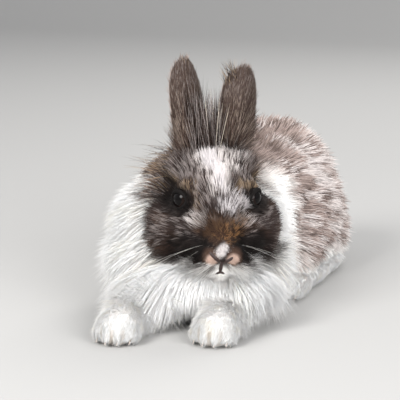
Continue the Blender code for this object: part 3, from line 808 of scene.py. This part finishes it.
def mesh_from_arrays(name, points, triangles, uvs, colours, normals):
    mesh = bpy.data.meshes.new(name)
    mesh.vertices.add(len(points))
    mesh.vertices.foreach_set("co", points.astype(np.float32).ravel())
    mesh.loops.add(triangles.size)
    mesh.loops.foreach_set("vertex_index", triangles.astype(np.int32).ravel())
    mesh.polygons.add(len(triangles))
    mesh.polygons.foreach_set("loop_start", np.arange(0, triangles.size, 3, dtype=np.int32))
    mesh.update(calc_edges=True)
    mesh.shade_smooth()
    layer = mesh.uv_layers.new(name="OFBake")
    layer.uv.foreach_set("vector", uvs[triangles.ravel()].astype(np.float32).ravel())
    paint(mesh, colours)
    mesh.normals_split_custom_set_from_vertices(normals.tolist())
    return mesh


def grow(
    name, slot, material, roots, tips, droop, flats, widths, cuts, uv, colours, tip_colours, stands_for=(),
):
    """Joined meshes of closed blades from roots to tips, each within the limit on its triangles."""
    points, triangles = tuft_pattern(cuts)
    across, deep, along = points.T[:, None, :, None]
    per_piece = PIECE_TRIANGLES // len(triangles)
    pieces = []
    for start in range(0, len(roots), per_piece):
        part = slice(start, start + per_piece)
        root, reach = roots[part], tips[part] - roots[part]
        length = np.linalg.norm(reach, axis=1, keepdims=True)
        way = reach / length
        side = unit(np.cross(way, flats[part]))
        face = np.cross(way, side)
        body = (1 - along) ** 0.7 * (0.72 + 0.9 * along)
        sunk = TUFT_SINK * MM * np.minimum(1, length / (SHORT_TUFT * MM))
        spine = root[:, None] + reach[:, None] * along - (way * sunk)[:, None] * (1 - along)
        spine = spine + droop[part][:, None] * (along**2 - along * TUFT_SPRING)
        wide = widths[part][:, None, None] * MM / 2 * body
        places = spine + side[:, None] * across * wide
        places = places + face[:, None] * deep * wide * TUFT_FLATNESS
        places[:, :, 2] = np.maximum(places[:, :, 2], FLOOR_REST + FLOOR_RISE * (1 - along[..., 0]))
        patch = np.column_stack((points[:, 0], 2 * points[:, 2] - 1)) * (PATCH / 2)
        uvs = uv[part][:, None] + patch[None]
        shade = along**0.8
        colour = colours[part][:, None] * (1 - shade) + tip_colours[part][:, None] * shade
        steps = np.arange(len(root))[:, None, None] * len(points)
        outward = side[:, None] * across + face[:, None] * deep
        shading = unit((SOFT_SHADE * flats[part][:, None] + (1 - SOFT_SHADE) * outward).reshape(-1, 3))
        mesh = mesh_from_arrays(
            name, places.reshape(-1, 3), (triangles[None] + steps).reshape(-1, 3), uvs.reshape(-1, 2),
            colour.reshape(-1, 3), shading,
        )
        mesh.materials.append(material)
        piece = bpy.data.objects.new(f"{name}_{len(pieces) + 1}", mesh)
        bpy.context.scene.collection.objects.link(piece)
        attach(piece, "root")
        pieces.append(piece)
    if stands_for:
        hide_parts(*stands_for)


def clear_of_eyes(roots, tips):
    """Tufts that stay off the eyeballs along their whole length."""
    clear = np.ones(len(roots), bool)
    for centre in eye_places:
        for share in (0.0, 0.35, 0.7, 1.0):
            places = in_head(roots + (tips - roots) * share)
            clear &= lengths(places - centre) > EYE_RADIUS + EYE_CLEARANCE
    return clear


def coat(name, slot, material, part, seed, pull, sag, waver, stands_for=()):
    """The coat of one part of the body, grown from its own faces of the skin."""
    draw = np.random.default_rng(seed)
    chosen = np.flatnonzero(face_part == part)
    faces, weights = spread_roots(draw, chosen)
    roots = at_roots(skin_places, faces, weights)
    normals = unit(at_roots(skin_normals, faces, weights))
    lie = at_roots(skin_lie, faces, weights)
    lie = unit(lie - normals * np.sum(lie * normals, axis=1, keepdims=True))
    count = len(roots)
    length = at_roots(skin_length, faces, weights) * (0.55 + 0.6 * draw.random(count) ** 0.7)
    lift = np.clip(at_roots(skin_lift, faces, weights) * draw.uniform(0.75, 1.3, count), 0.05, 0.9)
    way = unit(lie * (1 - lift[:, None]) + normals * lift[:, None])
    way = unit(way + waver * draw.normal(size=(count, 3)))
    tips = roots + way * length[:, None] * MM
    lead = leading(roots, draw, CLUMP_SHARE)
    tips = tips + (tips[lead] - tips) * (pull * draw.random(count) ** 0.5)[:, None]
    tips[:, 0] -= DRAWN_IN * np.maximum(tips[:, 0] - WIDEST, 0)
    droop = np.zeros((count, 3))
    droop[:, 2] = -sag * length * MM
    uv = np.sum(skin_uv[faces] * weights[:, :, None], axis=1)
    grain = draw.random(count)
    shared = min(0.5, 1.4 * pull)
    grain = (1 - shared) * grain + shared * grain[lead]
    grain = np.argsort(np.argsort(grain)) / count
    parts = at_roots(skin_parts, faces, weights)
    colour = coat_colour(roots, parts, grain, at_roots(skin_inside, faces, weights))
    dark = 1 - colour.mean(axis=1, keepdims=True)
    bright = 1 + draw.uniform(-1, 1, (count, 1)) * (0.03 + 0.3 * dark**2)
    root_colour = colour * (0.98 - 0.4 * dark)
    tip_colour = np.clip(colour * 1.1 * bright, 0, 0.96)
    width = at_roots(skin_width, faces, weights) * draw.uniform(0.7, 1.2, count)
    clear = clear_of_eyes(roots, tips)
    blades = [values[clear] for values in (roots, tips, droop, normals, width)]
    looks = [values[clear] for values in (uv, root_colour, tip_colour)]
    grow(name, slot, material, *blades, TUFT_CUTS, *looks, stands_for)


# Each coat's name, slot, material, part of the body and seed, then how far its tufts are
# drawn into locks, how far they sag and how far they stray, and the node it stands for.
face_part = np.argmax(skin_parts[skin_faces].sum(axis=1), axis=1)
coat("mane_wool", "white_coat", wool, MANE, 11, 0.13, 0.12, 0.08, ("mane",))
coat("face_fur", "marled_coat", hair, HEAD, 12, 0.35, 0.03, 0.10, ("forelock",))
coat("back_fur", "marled_coat", hair, BODY, 13, 0.30, 0.05, 0.12)
coat("ear_fur", "ear_coat", hair, EAR, 14, 0.10, 0.0, 0.10)
coat("forefoot_fur", "white_coat", wool, FORELEG, 15, 0.25, 0.0, 0.08)
coat("hind_foot_fur", "white_coat", wool, HIND_FOOT, 16, 0.25, 0.0, 0.08)
coat("tail_fur", "white_coat", wool, TAIL, 17, 0.4, 0.03, 0.14)


# Loose guard hairs. Dark and gold wisps, a few of them cream, stand out behind the
# temples and from the ears' edges and tips, and dark and grey ones between the ears.

WISP_PLACES = (
    # place on the head, reach, way, spread, number, length, width, paler colour
    ((-25, 16, 22), 12, (-1.0, 0.0, 0.12), 0.28, 130, 27, 0.28, GOLD),
    ((27, 14, 20), 9, (1.0, 0.2, 0.25), 0.28, 50, 16, 0.28, GOLD),
    ((15, 33, 76), 6, (-0.35, -0.1, 1.0), 0.3, 110, 11, 0.24, GOLD),
    ((-15, 29, 88), 4, (-0.2, 0.0, 1.0), 0.3, 14, 6, 0.2, GOLD),
    ((-4, 13, 34), 11, (-0.05, 0.10, 1.0), 0.13, 900, 40, 0.36, MASK_GREY),
)
WISP_SAG = 0.08
WISP_CUTS = 3
WISP_ROOT_SHADE = 0.6
DARK_BELOW = 0.62       # the share of the wisps that is dark
CREAM_ABOVE = 0.98


def sagging(reaches, share):
    """How far hairs hang down at their tips, by a share of their length."""
    return columns(0, 0, -share * lengths(reaches))


draw = np.random.default_rng(21)
wisps = []
for middle, reach, way, spread, number, length, width, pale in WISP_PLACES:
    near = np.flatnonzero(lengths(skin_head - np.array(middle)) < reach)
    picked = draw.choice(near, number)
    ways = unit(np.array(way) + spread * draw.normal(size=(number, 3))) @ HEAD_TURN.T
    reaches = ways * (length * draw.uniform(0.5, 1.15, number))[:, None] * MM
    wisps.append((picked, reaches, np.full(number, width), np.tile(pale, (number, 1))))
picked, reaches, wisp_widths, wisp_colours = (np.concatenate(group) for group in zip(*wisps))
vertex_uv = np.zeros((len(skin_places), 2))
vertex_uv[skin_faces.ravel()] = skin_uv.reshape(-1, 2)
shade = draw.random(len(picked))
wisp_colours = laid(wisp_colours, NAPE_BROWN, shade < DARK_BELOW)
wisp_colours = laid(wisp_colours, WOOL_CREAM, shade > CREAM_ABOVE)
grow(
    "loose_wisps", "marled_coat", hair, skin_places[picked], skin_places[picked] + reaches,
    sagging(reaches, WISP_SAG), skin_normals[picked], wisp_widths, WISP_CUTS, vertex_uv[picked],
    WISP_ROOT_SHADE * wisp_colours, wisp_colours,
)


# The whiskers. Long stiff white hairs in rows on both sides of the muzzle, which
# sweep out, back and down, and two over each eye.

WHISKER_ROWS = (-20, -25)
WHISKER_PLACES = ((-41, 9), (-37, 13), (-32, 17))
WHISKER_LENGTHS = (34, 52)
BROW_LENGTHS = (18, 24)
BROW_HAIRS = 2
WHISKER_WHITE = tone(206, 200, 192)
WHISKER_WIDTH = 0.15
WHISKER_SAG = 0.22
WHISKER_CUTS = 7
draw = np.random.default_rng(31)
whisker_roots, whisker_reaches = [], []


def whisker(place, way, scatter, length_range):
    """A hair from the skin nearest to a place on the head."""
    whisker_roots.append(np.argmin(lengths(skin_head - np.array(place))))
    way = unit(np.array([way]) + scatter * draw.normal(size=3))
    whisker_reaches.append((way @ HEAD_TURN.T)[0] * draw.uniform(*length_range) * MM)


for side in (-1, 1):
    for row, height in enumerate(WHISKER_ROWS):
        for depth, across in WHISKER_PLACES:
            way = (side * 1.0, -0.15 - 0.012 * depth, -0.45 - 0.35 * row)
            whisker((side * across, depth, height), way, 0.06, WHISKER_LENGTHS)
    for _ in range(BROW_HAIRS):
        whisker((side * 18, -16, 16), (side * 0.8, -0.3, 0.9), 0.1, BROW_LENGTHS)
whisker_reaches = np.array(whisker_reaches)
count = len(whisker_roots)
whisker_colour = np.tile(WHISKER_WHITE, (count, 1))
grow(
    "whiskers", "white_coat", wool, skin_places[whisker_roots], skin_places[whisker_roots] + whisker_reaches,
    sagging(whisker_reaches, WHISKER_SAG), skin_normals[whisker_roots], np.full(count, WHISKER_WIDTH),
    WHISKER_CUTS, vertex_uv[whisker_roots], whisker_colour, whisker_colour,
)


# The claws. One small curved horn-coloured claw at the end of each toe, half
# hidden in the fur of the paw.

CLAW_LENGTH = 6.0
CLAW_RADIUS = 0.9
CLAW_NARROW = 0.8
CLAW_DROP = 2.2
FORE_CLAWS = ((-10.5, 4.0), (-3.7, 0.5), (3.7, 0.5), (10.5, 4.0))
FORE_REACH = 3.6
FORE_HEIGHT = 2.2
HIND_CLAWS = ((-8.0, -31), (-2.8, -35), (2.8, -35), (8.0, -31))
HIND_MIDDLE = 44
HIND_REACH = 3.5
HIND_HEIGHT = 1.6


def horn_material():
    made = plain_material("claw_horn", tone(214, 200, 188), 0.35)
    nodes, links = made.node_tree.nodes, made.node_tree.links
    tint = nodes.new("ShaderNodeValToRGB")
    tint.color_ramp.elements[0].color = (*tone(186, 168, 154), 1)
    tint.color_ramp.elements[1].color = (*tone(228, 218, 208), 1)
    links.new(uneven(made, 700), tint.inputs["Fac"])
    links.new(tint.outputs["Color"], nodes["Principled BSDF"].inputs["Base Color"])
    return made


claw_horn = horn_material()


def claw(name, tip, way):
    """A claw that ends at tip, curved down along way. Sizes in millimetres."""
    bm = bmesh.new()
    bmesh.ops.create_cone(bm, cap_ends=True, segments=10, radius1=1, radius2=0.12, depth=1)
    long_edges = [item for item in bm.edges if abs(item.verts[0].co.z - item.verts[1].co.z) > 0.5]
    bmesh.ops.subdivide_edges(bm, edges=long_edges, cuts=6)
    ahead = Vector((way[0], way[1], 0)).normalized()
    across = Vector((ahead.y, -ahead.x, 0))
    for vertex in bm.verts:
        t = vertex.co.z + 0.5
        drop = CLAW_DROP * t * t
        vertex.co = (
            Vector(tip) + ahead * (CLAW_LENGTH * (t - 1)) + across * (vertex.co.x * CLAW_RADIUS * CLAW_NARROW)
            + Vector((0, 0, vertex.co.y * CLAW_RADIUS - drop + CLAW_DROP))
        ) * MM
    bmesh.ops.recalc_face_normals(bm, faces=bm.faces)
    made = linked_object(name, bm, claw_horn)
    made.data.shade_smooth()
    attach(made, "root")


for side, (wrist, toes) in FOREPAW_TOES.items():
    ahead = (Vector(toes) - Vector(wrist)).normalized()
    for index, (across, back) in enumerate(FORE_CLAWS):
        tip = Vector(toes) + Vector((ahead.y, -ahead.x)) * across + ahead * (FORE_REACH - back)
        claw(f"claw_fore_{side}_{index + 1}", (tip.x, tip.y, FORE_HEIGHT), ahead)
for side, sign in (("left", 1), ("right", -1)):
    for index, (across, front) in enumerate(HIND_CLAWS):
        tip = (sign * (HIND_MIDDLE + across), front - HIND_REACH, HIND_HEIGHT)
        claw(f"claw_hind_{side}_{index + 1}", tip, (0, -1))


# The eyes. Two dark brown balls with a wide black pupil, glossy as if wet, set
# where the solids have them.

def eye_material():
    made = bpy.data.materials.new("wet_eye")
    made.use_nodes = True
    nodes, links = made.node_tree.nodes, made.node_tree.links
    shader = nodes["Principled BSDF"]
    shader.inputs["Roughness"].default_value = 0.05
    shader.inputs["Specular IOR Level"].default_value = 0.13
    colour = nodes.new("ShaderNodeAttribute")
    colour.attribute_name = "coat"
    links.new(colour.outputs["Color"], shader.inputs["Base Color"])
    return made


EYE_SIDES = ((-1, "right"), (1, "left"))
EYE_AXIS = {sign: Vector((sign * 0.80, -0.58, 0.14)).normalized() for sign in (-1, 1)}
PUPIL = tone(9, 7, 7)
IRIS = tone(24, 15, 12)
IRIS_RIM = tone(14, 10, 9)
wet_eye = eye_material()
head_frame = Matrix.Translation(HEAD_CENTRE) @ Matrix(HEAD_TURN.tolist()).to_4x4()
for sign, side in EYE_SIDES:
    bm = bmesh.new()
    bmesh.ops.create_uvsphere(bm, u_segments=64, v_segments=40, radius=EYE_RADIUS * MM)
    look = Vector((0, 0, 1)).rotation_difference(EYE_AXIS[sign]).to_matrix().to_4x4()
    place = head_frame @ Matrix.Translation(Vector(EYE_PLACES[sign]) * MM) @ look
    out = np.array([vertex.co.z / (EYE_RADIUS * MM) for vertex in bm.verts])
    bmesh.ops.transform(bm, matrix=place, verts=bm.verts)
    eyeball = linked_object(f"eyeball_{side}", bm, wet_eye)
    eyeball.data.shade_smooth()
    ring = laid(IRIS, PUPIL, rise(out, 0.80, 0.86))
    ring = laid(ring, IRIS_RIM, rise(out, 0.58, 0.46))
    paint(eyeball.data, ring)
    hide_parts(f"eye_{side}")
    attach(eyeball, "root")


# The eyelids. A rim of dark bare skin round each eye, wider than it is high and
# thicker above, pressed against the ball.

LID_DARK = tone(15, 12, 11)
LID_STEPS = 64
RING_RADIUS = 6         # of the plain ring that each lid is bent from
LID_SPHERE = 8.0
LID_HALF_WIDTH = 6.6
UPPER_LID = 1.5         # how far each lid closes over the ball
LOWER_LID = 0.9
LID_THICKNESS = 0.9
UPPER_THICKER = 0.5


def lid_material():
    made = plain_material("dark_lid", LID_DARK, 0.8)
    made.node_tree.nodes["Principled BSDF"].inputs["Specular IOR Level"].default_value = 0.15
    roughen(made, uneven(made, 1600), 0.5, 0.0003)
    return made


dark_lid = lid_material()
for sign, side in EYE_SIDES:
    look = EYE_AXIS[sign]
    level = Vector((0, 0, 1)).cross(look).normalized()
    above = look.cross(level).normalized()
    place = head_frame @ Matrix.Translation(Vector(EYE_PLACES[sign]) * MM)
    bm = bmesh.new()
    bmesh.ops.create_circle(bm, segments=12, radius=1)
    bmesh.ops.spin(
        bm, geom=bm.edges[:], cent=(-RING_RADIUS, 0, 0), axis=(0, 1, 0), angle=2 * math.pi,
        steps=LID_STEPS, use_merge=True,
    )
    for vertex in bm.verts:
        round_x, round_y = vertex.co.x + RING_RADIUS, vertex.co.z
        turn = math.atan2(round_y, round_x)
        off = math.hypot(round_x, round_y) - RING_RADIUS
        upper, lower = max(0, math.sin(turn)), max(0, -math.sin(turn))
        rim = LID_HALF_WIDTH - UPPER_LID * upper - LOWER_LID * lower
        thick = LID_THICKNESS + UPPER_THICKER * upper
        height = math.sqrt(max(0, LID_SPHERE**2 - rim**2))
        out = vertex.co.y * thick + height
        radius = rim + off * thick
        vertex.co = (
            level * (radius * math.cos(turn)) + above * (radius * math.sin(turn)) + look * out
        ) * MM
    bmesh.ops.transform(bm, matrix=place, verts=bm.verts)
    bmesh.ops.recalc_face_normals(bm, faces=bm.faces)
    lid = linked_object(f"eyelids_{side}", bm, dark_lid)
    lid.data.shade_smooth()
    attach(lid, "root")


# The nose and mouth. Two dark slits in a V over a short cleft, and the lips' dark
# line, each a tapered cord that follows the muzzle, dark as painted shade inside the
# nostrils, the cleft and the mouth.

# painted shade: one dark colour for the insides of the nostrils, the cleft and the line between the lips
SLIT_SHADE = tone(44, 27, 23)
LINE_STEPS = 15
LINE_TAPER = 0.8
AHEAD_OF_NOSE = -90
skin_tree = BVHTree.FromPolygons(
    [tuple(place) for place in skin_places], [tuple(face) for face in skin_faces]
)
slit_shade = plain_material("slit_shade", SLIT_SHADE, 0.5)


def on_muzzle(across, up, sunk):
    """The place on the skin straight ahead of a point of the face, a little under its surface."""
    start = head_frame @ (Vector((across, AHEAD_OF_NOSE, up)) * MM)
    ahead = head_frame.to_3x3() @ Vector((0, 1, 0))
    found = skin_tree.ray_cast(start, ahead)
    return found[0] + ahead * sunk * MM


def skin_line(name, across, up, radius, sunk):
    """A closed tapered cord along the skin through three points of the face."""
    curve = bpy.data.curves.new(name, "CURVE")
    curve.dimensions = "3D"
    curve.bevel_depth = radius * MM
    curve.bevel_resolution = 2
    curve.use_fill_caps = True
    spline = curve.splines.new("POLY")
    spline.points.add(LINE_STEPS)
    for index, point in enumerate(spline.points):
        t = index / LINE_STEPS
        mix = ((1 - t) ** 2, 2 * t * (1 - t), t * t)
        x, z = (sum(share * value for share, value in zip(mix, values)) for values in (across, up))
        point.co = (*on_muzzle(x, z, sunk), 1)
        point.radius = 1 - LINE_TAPER * abs(2 * t - 1) ** 3
    drawn = bpy.data.objects.new(name, curve)
    bpy.context.scene.collection.objects.link(drawn)
    mesh = evaluated_mesh(drawn)
    bpy.data.objects.remove(drawn)
    bm = bmesh.new()
    bm.from_mesh(mesh)
    bmesh.ops.remove_doubles(bm, verts=bm.verts, dist=0.005 * MM)
    bmesh.ops.recalc_face_normals(bm, faces=bm.faces)
    made = linked_object(name, bm, slit_shade)
    made.data.shade_smooth()
    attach(made, "root")


# dark cords of painted shade in the nostrils, the cleft and the mouth
skin_line("nostril_right", (-8.4, -5.4, -0.6), (-20.8, -23.6, -28.2), 1.6, 0.8)
skin_line("nostril_left", (6.8, 4.4, 0.4), (-24.2, -25.8, -28.4), 1.3, 0.6)
skin_line("cleft", (-0.4, -0.6, -0.8), (-27.2, -31.0, -36.2), 1.5, 0.6)
skin_line("lips", (-3.6, -0.7, 2.2), (-37.4, -33.8, -37.2), 0.9, 0.2)
